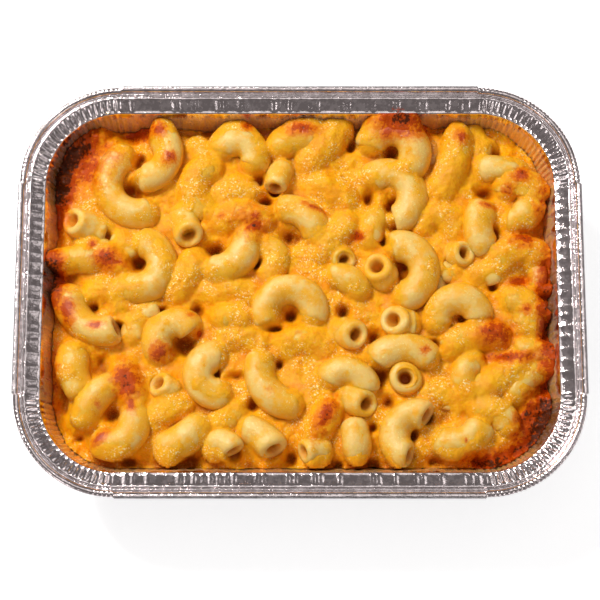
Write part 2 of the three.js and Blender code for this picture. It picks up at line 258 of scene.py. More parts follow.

# gaps between the elbows, dipped and painted dark as shade: middle, half sizes, turn in degrees and depth
GAPS = (
    (-54.3, 33.5, 3, 3, 0, 5), (-52, 44, 1.6, 3.4, -25, 4), (-11.2, 30.8, 2.4, 1.4, 0, 4),
    (-13.3, 37.3, 1.4, 1.4, 0, 4), (-33.3, 24.5, 1.6, 1.6, 0, 4), (-62.3, 19, 1.8, 1.8, 0, 4),
    (-27.5, 14.5, 3, 1.8, 0, 5), (-14.3, 9.9, 1.4, 1.4, 0, 4), (-2.5, 18.7, 3, 2.5, 0, 5),
    (14, -5.6, 1.9, 1.9, 0, 6), (23.8, -14.2, 2, 2, 0, 5), (25.3, -27, 2.6, 2.5, 0, 5),
    (26.6, 17.6, 1.1, 2.2, 30, 4), (31, 21.8, 2.3, 1.3, 0, 4), (22.3, 32, 1.8, 2.4, 0, 4),
    (16.7, 49, 1.3, 1.6, 0, 4), (42.8, 47, 2, 5, 0, 2.5), (60, 33.5, 3, 2.1, 0, 4.5),
    (63.8, 46.8, 2, 2, 0, 4), (61.9, 19.3, 2.4, 2.4, 0, 4.5), (47.8, 10.3, 1.3, 1.3, 0, 4),
    (45.8, 3, 1.6, 2.3, 0, 4.5), (61.8, 2.8, 1.5, 1.8, 0, 4), (43.5, -16.5, 1.3, 1.3, 0, 4),
    (71.3, -16.5, 1.1, 1.1, 0, 4), (77.3, 5.8, 1.6, 3, 0, 4.5), (76.8, -11, 1.6, 3, 0, 4),
    (75.5, -29.5, 3, 2.5, 0, 4), (-65.8, -4.5, 1.5, 1.5, 0, 4), (-32.8, -5.5, 1.6, 1.6, 0, 4),
    (-45.5, -5.7, 2.6, .9, 20, 4), (-6.4, -22.9, 1.2, 1.2, 0, 4), (-63, -23, 3, 3.4, 0, 3),
    (-15, -36, 1.8, 1.8, 0, 4), (-75, -34, 1.7, 4, 0, 4.5), (-69.8, -46, 1.6, 1.4, 0, 4),
    (-54.3, -53.5, 2, 1.2, 0, 4), (-34.3, -53.3, 3, 2, 0, 4.5), (-2.7, -52, 1.6, 1.6, 0, 4),
    (12, -54.5, 1.4, 1.4, 0, 4), (23, -54.3, 1.6, 1.4, 0, 4), (42.8, -53, 1.8, 1.4, 0, 4),
    (56.5, -52.8, 2, 1.4, 0, 4), (28, -35, 2, 2, 0, 4), (23, -43, 1.6, 1.6, 0, 4),
    (68, -38.5, 1.6, 1.6, 0, 3), (46, -39, 2.6, 2.6, 0, 3), (-36.5, -16.5, 3.4, 4, 0, 5),
    (-52, 10.5, 2.6, 2.2, 0, 5), (-2.9, -7.2, 2.2, 2, 0, 5), (-8, -11.3, 2.6, .9, 0, 3.5),
    (30, 46.6, 2, 2, 0, 5), (30.2, 29, 2.4, 3, 0, 5), (32.8, 8.2, 2.2, 3, 0, 5),
    (51.7, -8.3, 1.3, 1, 0, 4), (25.3, -26, 2.4, 2.4, 0, 3), (-59.5, -39, 2.4, 2.4, 0, 4.5),
    (-27, -26.5, 1.4, 2, 0, 4.5), (-20, -27, 3, 1.2, 0, 2.5), (35.5, -45.2, 1.6, 2, 0, 4.5),
    (55.3, -26.2, 1.8, 2, 0, 4),
)

# browned and burnt cheese: middle, half sizes, turn in degrees and strength
BROWNED = (
    (-46, 53.5, 1.8, 1.6, 0, .85), (-42, 44, 1.5, 1.9, -20, .85), (-17, 54.8, 1.6, 1.2, 0, .85),
    (0, 54, 4, 1.6, 0, .8), (33, 56, 6, 3.2, -8, 1.35), (29, 52.5, 3, 2, 10, .8),
    (52.5, 51, 1.5, 1.8, 0, .95), (71.5, 38.5, 2, 1.8, 0, .9), (67.5, 33.5, 1.6, 1.4, 0, .8),
    (60.5, 28.5, 2.6, .8, -15, .8), (4.5, 27.6, 3.6, .8, -22, .7), (-15.3, 23.3, 5, 4, 0, .6),
    (-25, 25, 1.4, 1.2, 0, .45), (-66.3, 15.3, 1.4, 1.2, 0, .7), (-61.8, 11, 2.6, 2.2, 0, 1.2),
    (-58, 9.5, 2.4, 1, 0, .8), (18.8, 18.5, 1.6, 1.4, 0, .7), (72, 17, 2.6, 2.2, 0, .9),
    (70.5, 4, 3, 1.3, 10, .8), (72, -5.9, 1.6, 1, 0, .9), (62.5, -13, 3.8, 2.8, 0, 1.1),
    (66.5, -20.8, 5.6, 1.3, 0, 1.1), (39.6, -18.8, 1.2, 1.1, 0, .8), (-74.2, -6, 2, 4, 0, .8),
    (-64.6, -11, 2.4, .9, 0, .7), (-43.7, -19.5, 2.2, 2, 0, 1.1), (-34.7, -7.2, 1.4, 1.2, 0, .4),
    (-32, -13.3, 1.4, 1.2, 0, .6), (-54.3, -29, 2.9, 4.4, 10, 1.1), (-53, -36, 1.2, 2.6, 0, .8),
    (-64, -36.3, 1, .9, 0, .6), (-62.8, -46.7, 2.6, 1.2, 40, .8), (-9.3, -32, 1.2, 1.1, 0, .4),
    (8.2, -40, 1.7, 4.6, -25, 1.1), (51.9, -47.8, .6, .6, 0, .6), (72, -39, 2.2, 6, -25, 1.1),
    (62.5, -52, 7, 1.5, 8, .9), (79, -31, 1.6, 9, 0, 1.1), (79, 0, 1.2, 9, 0, .9),
    (-80, 5, 1.4, 8, 0, .9), (-70, 42, 6, 8, -40, .7), (-78, 27, 2.2, 7, 0, .9),
    (-14.6, 22, 2.6, 1.7, 20, 1.05),
)

# round each browned spot lies a paler halo: the same spot, this much wider and weaker
HALO_WIDTH, HALO_STRENGTH = 1.7, 0.62
HALOS = tuple(
    (cx, cy, HALO_WIDTH * a, HALO_WIDTH * b, turn, strength) for cx, cy, a, b, turn, strength in BROWNED
)

# cheese burnt on along the wall: middle, half sizes, turn in degrees and strength
WALL_CRUST = (
    (-75, 40, 9, 15, -35, 1.9), (76, -42, 8, 15, -30, 1.5), (-80, 4, 5, 10, 0, 1.3),
    (80, -8, 5, 24, 0, 1), (33, 57, 8, 5, 0, 1.1), (62, -54, 9, 4, 0, 1.3),
    (-80, -30, 5, 16, 0, .5), (-52, 55, 6, 5, 0, .8), (79, 30, 5, 10, 0, .5),
)

# where cheese has climbed the wall: middle, half sizes and height
CLIMBS = (
    (-74, 41, 7, 10, 4.2), (-66, 50, 8, 6, 3.5), (-79, 5, 4, 10, 1.8), (76, -40, 5, 10, 2.5),
    (79, -5, 3, 14, 1.2), (62, -53, 9, 3, 1.2), (33, 57, 8, 3.5, 3.2), (79, -30, 3, 9, 1.6),
)

# ---------------------------------------------------------------- the elbows' centrelines
SINK = 0.9  # how much lower a fully buried elbow lies
LEAST_RISE = 0.3  # of the bend over its chord
UPWARD = 0.05  # leans every bend up a little, so that a straight elbow has a side to bend to


def elbow_arcs():
    """The circle through each elbow's three points: u along the chord, s towards the back, half chord a and
    rise h give radius R = (a^2 + h^2) / 2h and half sweep atan2(a, R - h)."""
    t = np.array(ELBOWS, float)
    start, back, end, r, coat = t[:, 0:3], t[:, 3:6], t[:, 6:9], t[:, 9], t[:, 10]
    sunk = SINK * coat[:, None] * np.array([0, 0, 1])
    start, back, end = start - sunk, back - sunk, end - sunk
    chord = end - start
    a = np.linalg.norm(chord, axis=1) / 2
    u = chord / (2 * a)[:, None]
    middle = (start + end) / 2
    off = back - middle
    off = off - (off * u).sum(1)[:, None] * u + np.array([0, 0, UPWARD])
    rise = np.linalg.norm(off, axis=1)
    s = off / rise[:, None]
    s = s - (s * u).sum(1)[:, None] * u
    s = s / np.linalg.norm(s, axis=1)[:, None]
    h = np.maximum(rise, LEAST_RISE)
    big = (a * a + h * h) / (2 * h)
    sweep = np.arctan2(a, big - h)
    centre = middle + s * (h - big)[:, None]
    return dict(centre=centre, u=u, s=s, R=big, sweep=sweep, length=2 * big * sweep, r=r, coat=coat)


ARCS = elbow_arcs()


def along_arcs(t):
    """Centreline points and outward directions of every elbow (rows) at t from 0 to 1 (columns):
    out = s cos(g) + u sin(g) and C = centre + R out, with g = sweep (2t - 1)."""
    g = (ARCS["sweep"][:, None] * (2 * t - 1))[..., None]
    out = ARCS["s"][:, None] * np.cos(g) + ARCS["u"][:, None] * np.sin(g)
    return ARCS["centre"][:, None] + ARCS["R"][:, None, None] * out, out


LEFT_OPEN = np.array([row[11] for row in ELBOWS])
OPEN = np.stack([LEFT_OPEN % 2 == 1, LEFT_OPEN >= 2], 1)
END_PLACES = along_arcs(np.array([[0.0, 1.0]]))[0]

# ---------------------------------------------------------------- the sauce's surface
SAUCE_MIDDLE = 27.5
SAUCE_BY_WALL = 21.3
SAUCE_EDGE = 19.5  # level that the mesh's outline is drawn at
DATUM = 26  # taken off each height before its exponential, which keeps the numbers small
FILLET = 0.8  # how softly the sauce meets an elbow
SKIN_BARE = -0.4  # film over a bare elbow: the sauce stays this far under its surface
SKIN_COATED = 0.6
SKIRT_BARE = -0.4  # the sauce banks up against a tube's side this far over its middle,
SKIRT_COATED = 2.2  # and this much more where it is buried,
SKIRT_SLOPE = 0.8  # then falls away at this slope
TRIM_OPEN = 0.95  # the film stops this share of a radius before an open end,
TRIM_CLOSED = 0.48  # this share before a closed one,
TRIM_BURIED = 0.28  # and this share where it is buried,
TRIM_MOST = 0.45  # but never takes more than this share of the length
ACROSS_ELBOW = 5  # how far beside a tube it still lifts the sauce
GAP_DEPTH = 1.1  # share of each gap's depth
BORE_DEPTH = 6  # of the sauce's pit in an open end
FINE = 40  # points along a centreline
NOWHERE = -99.0  # height of what isn't there


def film_lines():
    """Points along each elbow's centreline, between the places where the film over it stops."""
    closed = TRIM_CLOSED + (TRIM_BURIED - TRIM_CLOSED) * ARCS["coat"][:, None]
    shares = np.where(OPEN, TRIM_OPEN, closed)
    trim = np.minimum(TRIM_MOST, shares * (ARCS["r"] / ARCS["length"])[:, None])
    return along_arcs(np.linspace(trim[:, 0], 1 - trim[:, 1], FINE, axis=1))[0]


FILM_LINES = film_lines()


def to_wall(x, y):
    """Distance to the wall, at the height of the sauce's edge."""
    return np.maximum(wall_reach(SAUCE_EDGE) - outward(x, y)[0], 0)


def sauce_level(x, y):
    """Sauce between the elbows: uneven, and sinking near the wall by exp(-(distance / 6)^2)."""
    sink = np.exp(-(to_wall(x, y) / 6) ** 2) * np.clip(0.8 + 0.5 * cloud(x, y, 9, 14), 0.2, 1.2)
    level = SAUCE_MIDDLE - (SAUCE_MIDDLE - SAUCE_BY_WALL) * sink
    return level + 1.2 * cloud(x, y, 10, 11) + 0.3 * wander(x, y, 1.7, 12)


def over_elbow(k, x, y, lumps, bank):
    """Heights at points near elbow k: of the film over it, which is the highest point of a ball rolled along
    its centreline, of the sauce banked up beside it, and of the tube itself."""
    p, r, coat = FILM_LINES[k], ARCS["r"][k], ARCS["coat"][k]
    d2 = (x[:, None] - p[:, 0]) ** 2 + (y[:, None] - p[:, 1]) ** 2
    ball = r + SKIN_BARE + (SKIN_COATED - SKIN_BARE) * coat + lumps[:, None] * (0.15 + 0.85 * coat)
    rise = p[:, 2] + np.sqrt(np.maximum(ball * ball - d2, 0))
    film = np.where(d2 < ball * ball, rise, NOWHERE).max(1)
    lift = SKIRT_BARE + SKIRT_COATED * coat + 0.7 * bank - 3 * np.exp(-(to_wall(x, y) / 5) ** 2)
    skirt = (p[:, 2] - SKIRT_SLOPE * np.maximum(np.sqrt(d2) - 0.85 * r, 0)).max(1) + lift
    tube = np.where(d2 < r * r, p[:, 2] + np.sqrt(np.maximum(r * r - d2, 0)), NOWHERE).max(1)
    return film, skirt, tube


def food_surface(x, y):
    """Height of the sauce, and how thick its film is over the nearest elbow, at flat arrays x and y.

    Soft maximum k ln(sum exp(h / k)) of the sauce level and of every elbow's film and bank; then crust near
    the wall and small lumps are added, gaps are dipped and bores left open."""
    total = np.exp((sauce_level(x, y) - DATUM) / FILLET)
    tubes = np.full_like(x, NOWHERE)
    lumps = 0.35 * cloud(x, y, 3.2, 21) + 0.13 * wander(x, y, 0.9, 22)
    bank = cloud(x, y, 5, 23)
    for k, (p, r) in enumerate(zip(FILM_LINES, ARCS["r"])):
        low, high = p.min(0) - r - ACROSS_ELBOW, p.max(0) + r + ACROSS_ELBOW
        near = np.flatnonzero((x > low[0]) & (x < high[0]) & (y > low[1]) & (y < high[1]))
        film, skirt, tube = over_elbow(k, x[near], y[near], lumps[near], bank[near])
        total[near] += np.exp((film - DATUM) / FILLET)
        total[near] += np.exp((skirt - DATUM) / FILLET)
        tubes[near] = np.maximum(tubes[near], tube)
    height = DATUM + FILLET * np.log(total)
    crust = spots(x, y, WALL_CRUST) * smooth(9, 1, to_wall(x, y))
    height = height + 0.5 * crust * (1 + wander(x, y, 1.4, 34))
    height = height + 0.15 * wander(x, y, 1.1, 31) + 0.35 * cloud(x, y, 4.5, 33)
    height = height - GAP_DEPTH * spots(x, y, GAPS) * (1 + 0.25 * wander(x, y, 1.5, 41))
    for k, e in np.argwhere(OPEN):
        place = END_PLACES[k, e]
        d = np.hypot(x - place[0], y - place[1]) / (ARCS["r"][k] * PIT)
        pit = np.exp(-d ** 6)
        height = height * (1 - pit) + np.minimum(height, place[2] - BORE_DEPTH) * pit
    return height, height - tubes


def climb(x, y):
    """How far the crust has crept up near the wall: the strongest of the soft spots, roughened."""
    table = [(cx, cy, a, b, 0, rise) for cx, cy, a, b, rise in CLIMBS]
    edge = smooth(12, 22, outward(x, y)[0])
    return spots(x, y, table) * edge * (1 + 0.35 * cloud(x, y, 3, 51))


def browning(x, y, z):
    """How far each point is browned, 0 to 1.6: the spots, their halos and the wall's crust, broken up by two
    clouds, with a few specks on what stands high."""
    crust = spots(x, y, WALL_CRUST) * smooth(9 + 2.5 * cloud(x, y, 6, 64), 0.5, to_wall(x, y))
    hot = np.maximum(np.maximum(spots(x, y, BROWNED), crust), HALO_STRENGTH * spots(x, y, HALOS))
    rough = 0.32 * cloud(x, y, 2.2, 61) + 0.22 * cloud(x, y, 0.8, 62, 2)
    speck = 0.12 * smooth(0.45, 0.9, cloud(x, y, 7, 63)) * smooth(29, 32, z)
    amount = 1.15 * hot * (1 + rough) + rough * 0.3 * smooth(0.05, 0.4, hot) + speck
    return np.clip(amount, 0, 1.6)


# ---------------------------------------------------------------- sauce mesh
SAUCE_COLUMNS, SAUCE_ROWS = 351, 247
WALL_GAP = 0.12
UNDERSIDE = 1.6  # its bottom, over the foil
SIDE_LEVELS = (17.5, 15, 12.5, 10, 6.5, UNDERSIDE + 1.2, UNDERSIDE)
SIDE_GAP = 0.4  # further off the wall below its edge,
FOOT_GAP = 3.4  # further again where the wall turns into the foot,
UNDER_GAP = 1.4  # and at the rounded lower edge
HOLLOW_WIDTH = 3.2  # how far round a spot its level is compared with


def push_in(x, y, z, gap):
    """Points moved in until they are gap clear of the wall at their own height, softly over the last mm."""
    d, nx, ny = outward(x, y)
    over = d - wall_reach(z, gap)
    soft = np.where(over > -3, 0.5 * (over + np.sqrt(over * over + 0.5)), 0)
    return x - nx * soft, y - ny * soft


def outline_points(qx, qy, z, gap):
    """Points of the food's outline, a rounded rectangle inside the wall, for points of a square's edge."""
    reach = wall_reach(z, gap)
    x, y = qx * (ARC_X + reach), qy * (ARC_Y + reach)
    dx, dy = np.abs(x) - ARC_X, np.abs(y) - ARC_Y
    corner = (dx > 0) & (dy > 0)
    n = np.maximum(np.hypot(dx, dy), 1e-6)
    x = np.where(corner, np.sign(x) * (ARC_X + dx / n * reach), x)
    y = np.where(corner, np.sign(y) * (ARC_Y + dy / n * reach), y)
    return x, y


def sauce_top():
    """A square grid drawn onto the rounded outline: (u a, v b) plus the outline's own shift times m^6, where
    m = max(|u|, |v|). The outermost points lean out with the wall. Also gives the grid's places on the
    square's edge and the film's thickness."""
    u, v = np.meshgrid(np.linspace(-1, 1, SAUCE_COLUMNS), np.linspace(-1, 1, SAUCE_ROWS), indexing="ij")
    m = np.maximum(np.maximum(np.abs(u), np.abs(v)), 1e-6)
    qx, qy = u / m, v / m
    ox, oy = outline_points(qx, qy, SAUCE_EDGE, WALL_GAP)
    a, b = ARC_X + wall_reach(SAUCE_EDGE, WALL_GAP), ARC_Y + wall_reach(SAUCE_EDGE, WALL_GAP)
    x = (u * a + (ox - qx * a) * m ** 6).ravel()
    y = (v * b + (oy - qy * b) * m ** 6).ravel()
    z, film = food_surface(x, y)
    z = z + climb(x, y) + (0.9 + 0.6 * cloud(x, y, 6, 55)) * np.exp(-to_wall(x, y) / 0.9)
    z = np.maximum(z, SAUCE_EDGE)
    lean = np.clip(z - SAUCE_EDGE, 0, 13) * math.tan(DRAFT) * m.ravel() ** 14
    _, nx, ny = outward(x, y)
    return x + nx * lean, y + ny * lean, z, film, qx.ravel(), qy.ravel()


def sauce_piece(material):
    """The sauce's top over sides that follow the wall, closed at the middle of its underside."""
    x, y, z, film, qx, qy = sauce_top()
    grid = np.arange(x.size).reshape(SAUCE_COLUMNS, SAUCE_ROWS)
    edge = np.concatenate([grid[:-1, 0], grid[-1, :-1], grid[:0:-1, -1], grid[0, :0:-1]])
    count = len(edge)
    points, rings = [np.stack([x, y, z], 1)], [edge]
    for i, level in enumerate(SIDE_LEVELS):
        gap = SIDE_GAP + FOOT_GAP * smooth(7, UNDERSIDE, level) + UNDER_GAP * (level == UNDERSIDE)
        side_x, side_y = outline_points(qx[edge], qy[edge], level, WALL_GAP + gap)
        points.append(np.stack([side_x, side_y, np.full(count, float(level))], 1))
        rings.append(grid.size + i * count + np.arange(count))
    points = np.concatenate(points + [[[0, 0, UNDERSIDE]]])
    quads = np.stack([grid[:-1, :-1], grid[1:, :-1], grid[1:, 1:], grid[:-1, 1:]], -1)
    faces = quads.reshape(-1, 4).tolist()
    for upper, lower in zip(rings, rings[1:]):
        faces += np.stack([upper, lower, np.roll(lower, -1), np.roll(upper, -1)], 1).tolist()
    pole = len(points) - 1
    faces += np.stack([rings[-1], np.full(count, pole), np.roll(rings[-1], -1)], 1).tolist()
    below = len(points) - len(z)
    cell = 2 * HALF_LENGTH / SAUCE_COLUMNS
    # painted shade: the sauce is darker where it lies below the blurred level round it, and in the gaps
    mean = blurred(z.reshape(grid.shape), HOLLOW_WIDTH / cell).ravel()
    hollow_shade = np.maximum(smooth(0.9, 3.4, mean - z), smooth(1, 4, spots(x, y, GAPS)))
    marks = {
        "brown": browning(*points.T),
        "thin": np.exp(-np.clip(np.append(film, np.full(below, 9.0)), 0, 9) / 0.7),
        "hollow_shade": np.append(hollow_shade, np.ones(below)),
    }
    return make_mesh("cheese_sauce", points, faces, marks, material, ["macaroni_cheese"])


# ---------------------------------------------------------------- elbow meshes
ALONG, AROUND, LIP, INSIDE = 24, 24, 6, 8  # points along the outside, round it, over a lip, along the bore
ROUNDING = 0.45  # radius of an end's lip, in shares of the tube's
ELBOW_GAP = 0.3  # between an elbow and the wall


def tube_section():
    """For each elbow, the closed profile of its half wall as (along, radius): the outer side, a rounded lip,
    the bore back to the start and the other lip. Also how far inside the bore each point is, 0 to 1."""
    r, length = ARCS["r"][:, None], ARCS["length"][:, None]
    bore, rounding = r * BORE, r * ROUNDING
    inner = length - 2 * rounding
    turn = np.linspace(0, math.pi, LIP + 2)[None, 1:-1]
    middle, half = (r + bore) / 2, (r - bore) / 2
    along = np.concatenate([
        rounding + np.linspace(0, 1, ALONG) * inner, length - rounding + rounding * np.sin(turn),
        rounding + np.linspace(1, 0, INSIDE) * inner, rounding - rounding * np.sin(turn),
    ], 1)
    radius = np.concatenate([
        r * np.ones(ALONG), middle + half * np.cos(turn),
        bore * np.ones(INSIDE), middle - half * np.cos(turn),
    ], 1)
    inside = [np.zeros(ALONG), np.linspace(0, 1, LIP), np.ones(INSIDE), np.linspace(1, 0, LIP)]
    return along, radius, np.concatenate(inside)


def elbows_piece(material):
    """Hollow bent tubes. The closed section is turned about each centreline:
    P = C(t) + radius (cos b N(t) + sin b B), N outward in the bend, B across it, a little oval and uneven."""
    along, radius, inside = tube_section()
    t = along / ARCS["length"][:, None]
    centre, out = along_arcs(t)
    across = np.cross(ARCS["u"], ARCS["s"])[:, None, None]
    b = np.linspace(0, 2 * math.pi, AROUND, endpoint=False)
    rng = np.random.default_rng(5)
    phase = rng.uniform(0, 2 * math.pi, (len(ELBOWS), 1, 1))
    tint = rng.uniform(-1, 1, (len(ELBOWS), 1, 1))
    oval = 1 + 0.035 * np.cos(2 * b + phase) + 0.02 * np.sin(3 * b + 2.1 * phase + 4 * t[..., None])
    swell = 1 + 0.03 * np.sin(2 * math.pi * (t[..., None] * 1.3 + phase))
    rad = radius[..., None] * oval * swell
    ring = np.cos(b)[None, None, :, None] * out[:, :, None] + np.sin(b)[None, None, :, None] * across
    points = (centre[:, :, None] + rad[..., None] * ring).reshape(-1, 3)
    index = np.arange(rad.size).reshape(rad.shape)
    ahead, beside = np.roll(index, -1, 1), np.roll(index, -1, 2)
    faces = np.stack([beside, np.roll(ahead, -1, 2), ahead, index], -1).reshape(-1, 4)
    x, y = push_in(*points.T, ELBOW_GAP)
    z = points[:, 2] + 0.1 * wander(x, y, 2.4, 71)
    inside = np.broadcast_to(inside[:, None], rad.shape).ravel()
    # how far each point faces up, which sets the painted shade on the tubes' sides
    crown_shade = (ring[..., 2] * (rad / ARCS["r"][:, None, None])).ravel()
    on_lip = (inside > 0) & (inside < 1)
    marks = {
        "crown_shade": np.maximum(crown_shade, np.where(on_lip, 1.0, -1.0)),
        "brown": browning(x, y, z),
        "proud": np.clip(z - food_surface(x, y)[0], -1, 3),
        "inside": inside,
        # painted shade: darker the lower a point lies
        "hollow_shade": np.clip((29.3 - z) / 4, 0, 1),
        "tint": np.broadcast_to(tint, rad.shape).ravel(),
    }
    points = np.stack([x, y, z], 1)
    return make_mesh("elbow_macaroni", points, faces.tolist(), marks, material)


# ---------------------------------------------------------------- foil tray mesh
PLEATS = 20  # in a corner
CORNER_STATIONS = 8  # for each pleat
STATION_PITCH = 0.5  # along the straights
PLEAT_HEIGHT = 1.9  # in shares of RIB_HEIGHT,
PLEAT_SUNK = 0.4  # less this much all along
PLEAT_GAP = 0.38  # share of the pitch that stays flat between two pleats
RIB_PITCH = 8.5  # between ribs, or groups of them, on the long sides
SHORT_SIDE_PITCH = 3.6
GROUP_PITCH = 2.3  # from one rib of a group to the next
RIB_HEIGHT = 0.42
RIB_BULGE = 0.1  # a rib also pushes the shoulder outwards
FLUTE_DEPTH = 0.22  # of the wall's flutes in the corners
CREASE_DEPTH = 0.22  # of the wall's creases
WALL_SWAY = 0.25
CRINKLE = 0.09  # of the shoulder and flange
CORNER_CRINKLE = 0.08  # a finer one on the flange's corners
CRIMP_PITCH = 1.45  # along the corners' curled edge
CRIMP_DEPTH = 0.11
BEAD_SAG = 0.1
BEAD_LEVEL = 36.9  # the curled edge's middle
LOW_WALL = 4.2  # where the wall turns into the foot
FOOT_TURN = 3.4  # how far in that turn reaches
BASE_TOP, BASE_UNDER = 1.1, 0.8  # the raised base panel's two faces
RING_INSET = 26  # points further in than this shrink towards the base's middle,
RING_SPAN = 40  # which they would reach this much further in

# the shoulder and flange from the wall's lip outwards: inset, height and how much the ribs lift them
SHOULDER_TOP = (
    (LIP_INSET + 0.02, 33.7, .4), (8.52, 34.05, .12), (8.38, 34.28, .12), (8.15, 34.34, .12),
    (7.9, 34.3, .5), (7.2, 34.65, 1), (6.3, 35.15, 1), (5.4, 35.7, .9), (4.75, 36.15, .6),
    (4.4, 36.45, .3), (4.15, 36.6, 0), (3.75, 36.62, 0), (3.5, 36.52, 0), (3.35, 36.32, 0),
    (3.2, 36.52, 0), (2.95, 36.64, 0), (2.6, 36.6, 0), (2.38, 36.4, 0),
)
# and their underside, from the curled edge inwards
SHOULDER_UNDER = (
    (2.4, 36.1, 0), (3.7, 36.1, 0), (4.3, 36.1, .3), (4.85, 35.8, .6), (5.5, 35.42, .9),
    (6.4, 34.9, 1), (7.3, 34.35, 1), (8, 33.95, .8), (8.3, 33.6, .5),
)

# baked-on glaze darkened by heat: middle, half sizes, turn in degrees and strength
DARK_GLAZE = (
    (-74, 44, 9, 12, -40, 1.2), (-81, 5, 3, 10, 0, .8), (77, -42, 6, 10, 0, .9), (81, 0, 3, 16, 0, .6),
)
GLAZE_LEVEL = 33.2  # how high the glaze reaches, on average


def tray_stations():
    """Places round the rim, each as the arc middle it belongs to, its outward direction, its distance round
    the rim and its place in the corner from 0 to 1 (or -1 on a straight)."""
    parts = []
    walk = 0
    turns = PLEATS * CORNER_STATIONS
    place = (np.arange(turns) + 0.5) / turns
    for k, (sx, sy) in enumerate(((1, 1), (-1, 1), (-1, -1), (1, -1))):
        middle = np.array([sx * ARC_X, sy * ARC_Y])
        angle = math.pi / 2 * (k + place)
        face = np.stack([np.cos(angle), np.sin(angle)], 1)
        parts.append(np.column_stack([np.tile(middle, (turns, 1)), face, walk + place * QUARTER, place]))
        walk += QUARTER
        length = 2 * (ARC_X if k % 2 == 0 else ARC_Y)
        steps = int(length / STATION_PITCH)
        along = (np.arange(steps) + 0.5) / steps * length
        go = np.array(((-1, 0), (0, -1), (1, 0), (0, 1))[k])
        face = np.tile(((0, 1), (-1, 0), (0, -1), (1, 0))[k], (steps, 1))
        parts.append(np.column_stack([middle + go * along[:, None], face, walk + along, np.full(steps, -1)]))
        walk += length
    return np.concatenate(parts)


def tray_profile():
    """The foil's closed section as rows of inset, height, shoulder weight, wall weight, bead weight and which
    skin it belongs to (+1 for the side that holds the food, -1 for the outside). It runs from the base's
    middle up the inside, round the curled edge and back down the outside. The foot's turn is an ellipse's."""
    turn_inset = wall_inset(LOW_WALL)
    foot_inset = turn_inset + FOOT_TURN
    # inset, height and the foil's thickness measured along the inset, at three angles round the foot's turn
    turn = [
        (foot_inset - FOOT_TURN * math.sin(a), LOW_WALL * (1 - math.cos(a)) * 0.98, FOIL * math.sin(a))
        for a in np.radians((25, 50, 72))
    ]
    # inset and height of the foot ring and of the base panel that is raised inside it, on both skins
    base_edge, ring_inner, ring_outer = foot_inset + 7.2, foot_inset + 5.6, foot_inset + 0.4
    inside_base = (46, BASE_TOP), (32, BASE_TOP), (base_edge, 1.05), (ring_inner, 0.3), (ring_outer, FOIL)
    under_base = (ring_outer, 0), (ring_inner, 0), (base_edge, 0.75), (32, BASE_UNDER), (46, BASE_UNDER)
    wall_top = LIP_LEVEL - 0.9

    inside = [(inset, z, 0, 0, 0) for inset, z in inside_base]
    inside += [(inset, z + FOIL, 0, 0.3, 0) for inset, z, _ in turn]
    inside += [(wall_inset(z), z, 0, 1, 0) for z in np.linspace(LOW_WALL, wall_top, 10)]
    inside += [(inset, z, lift, 0, 0) for inset, z, lift in SHOULDER_TOP]
    inside += [
        (BEAD_RADIUS + BEAD_RADIUS * math.cos(a), BEAD_LEVEL + BEAD_RADIUS * math.sin(a), 0, 0, 1)
        for a in np.radians(np.arange(-12, 250, 24))
    ]
    outside = [(inset, z, lift, 0, 0) for inset, z, lift in SHOULDER_UNDER]
    outside += [(wall_inset(z) - FOIL, z, 0, 1, 0) for z in np.linspace(wall_top, LOW_WALL, 6)]
    outside += [(inset - skin, z, 0, 0.3, 0) for inset, z, skin in reversed(turn)]
    outside += [(inset, z, 0, 0, 0) for inset, z in under_base]
    return np.array([row + (1,) for row in inside] + [row + (-1,) for row in outside])


def rim_ripples(walk, place):
    """Height of the ribs on the shoulder at each station, in shares of RIB_HEIGHT: a saw-tooth of pleats in
    the corners, and along the straights single ribs, some in twos and threes, of 1 - |t| over their width."""
    rng = np.random.default_rng(8)
    depth = np.clip(1 + 0.35 * wander(walk, 0, 3, 81), 0.4, 1.5)
    saw = np.abs(((place * PLEATS) % 1) * 2 - 1)
    wave = PLEAT_HEIGHT * np.clip((saw - PLEAT_GAP) / (1 - PLEAT_GAP), 0, 1) - PLEAT_SUNK
    fade = smooth(0, 0.06, place) * smooth(0, 0.06, 1 - place)
    ripple = np.where(place >= 0, wave * depth * (0.35 + 0.65 * fade), 0)
    long_side, short_side = 2 * ARC_X, 2 * ARC_Y
    at = 0
    while at < walk.max() + 1:
        short = at % (long_side + short_side + 2 * QUARTER) > long_side + QUARTER
        for extra in range(1 if short else int(rng.choice([1, 2, 2, 3]))):
            width = rng.uniform(0.8, 1.15)
            rise = width * rng.uniform(0.95, 1.35) * (0.7 if short else 1)
            rib = np.clip(1 - np.abs(walk - at - extra * GROUP_PITCH) / width, 0, 1) * rise
            ripple = ripple + np.where(place < 0, rib, 0)
        at += (SHORT_SIDE_PITCH if short else RIB_PITCH) * rng.uniform(0.7, 1.25)
    return ripple


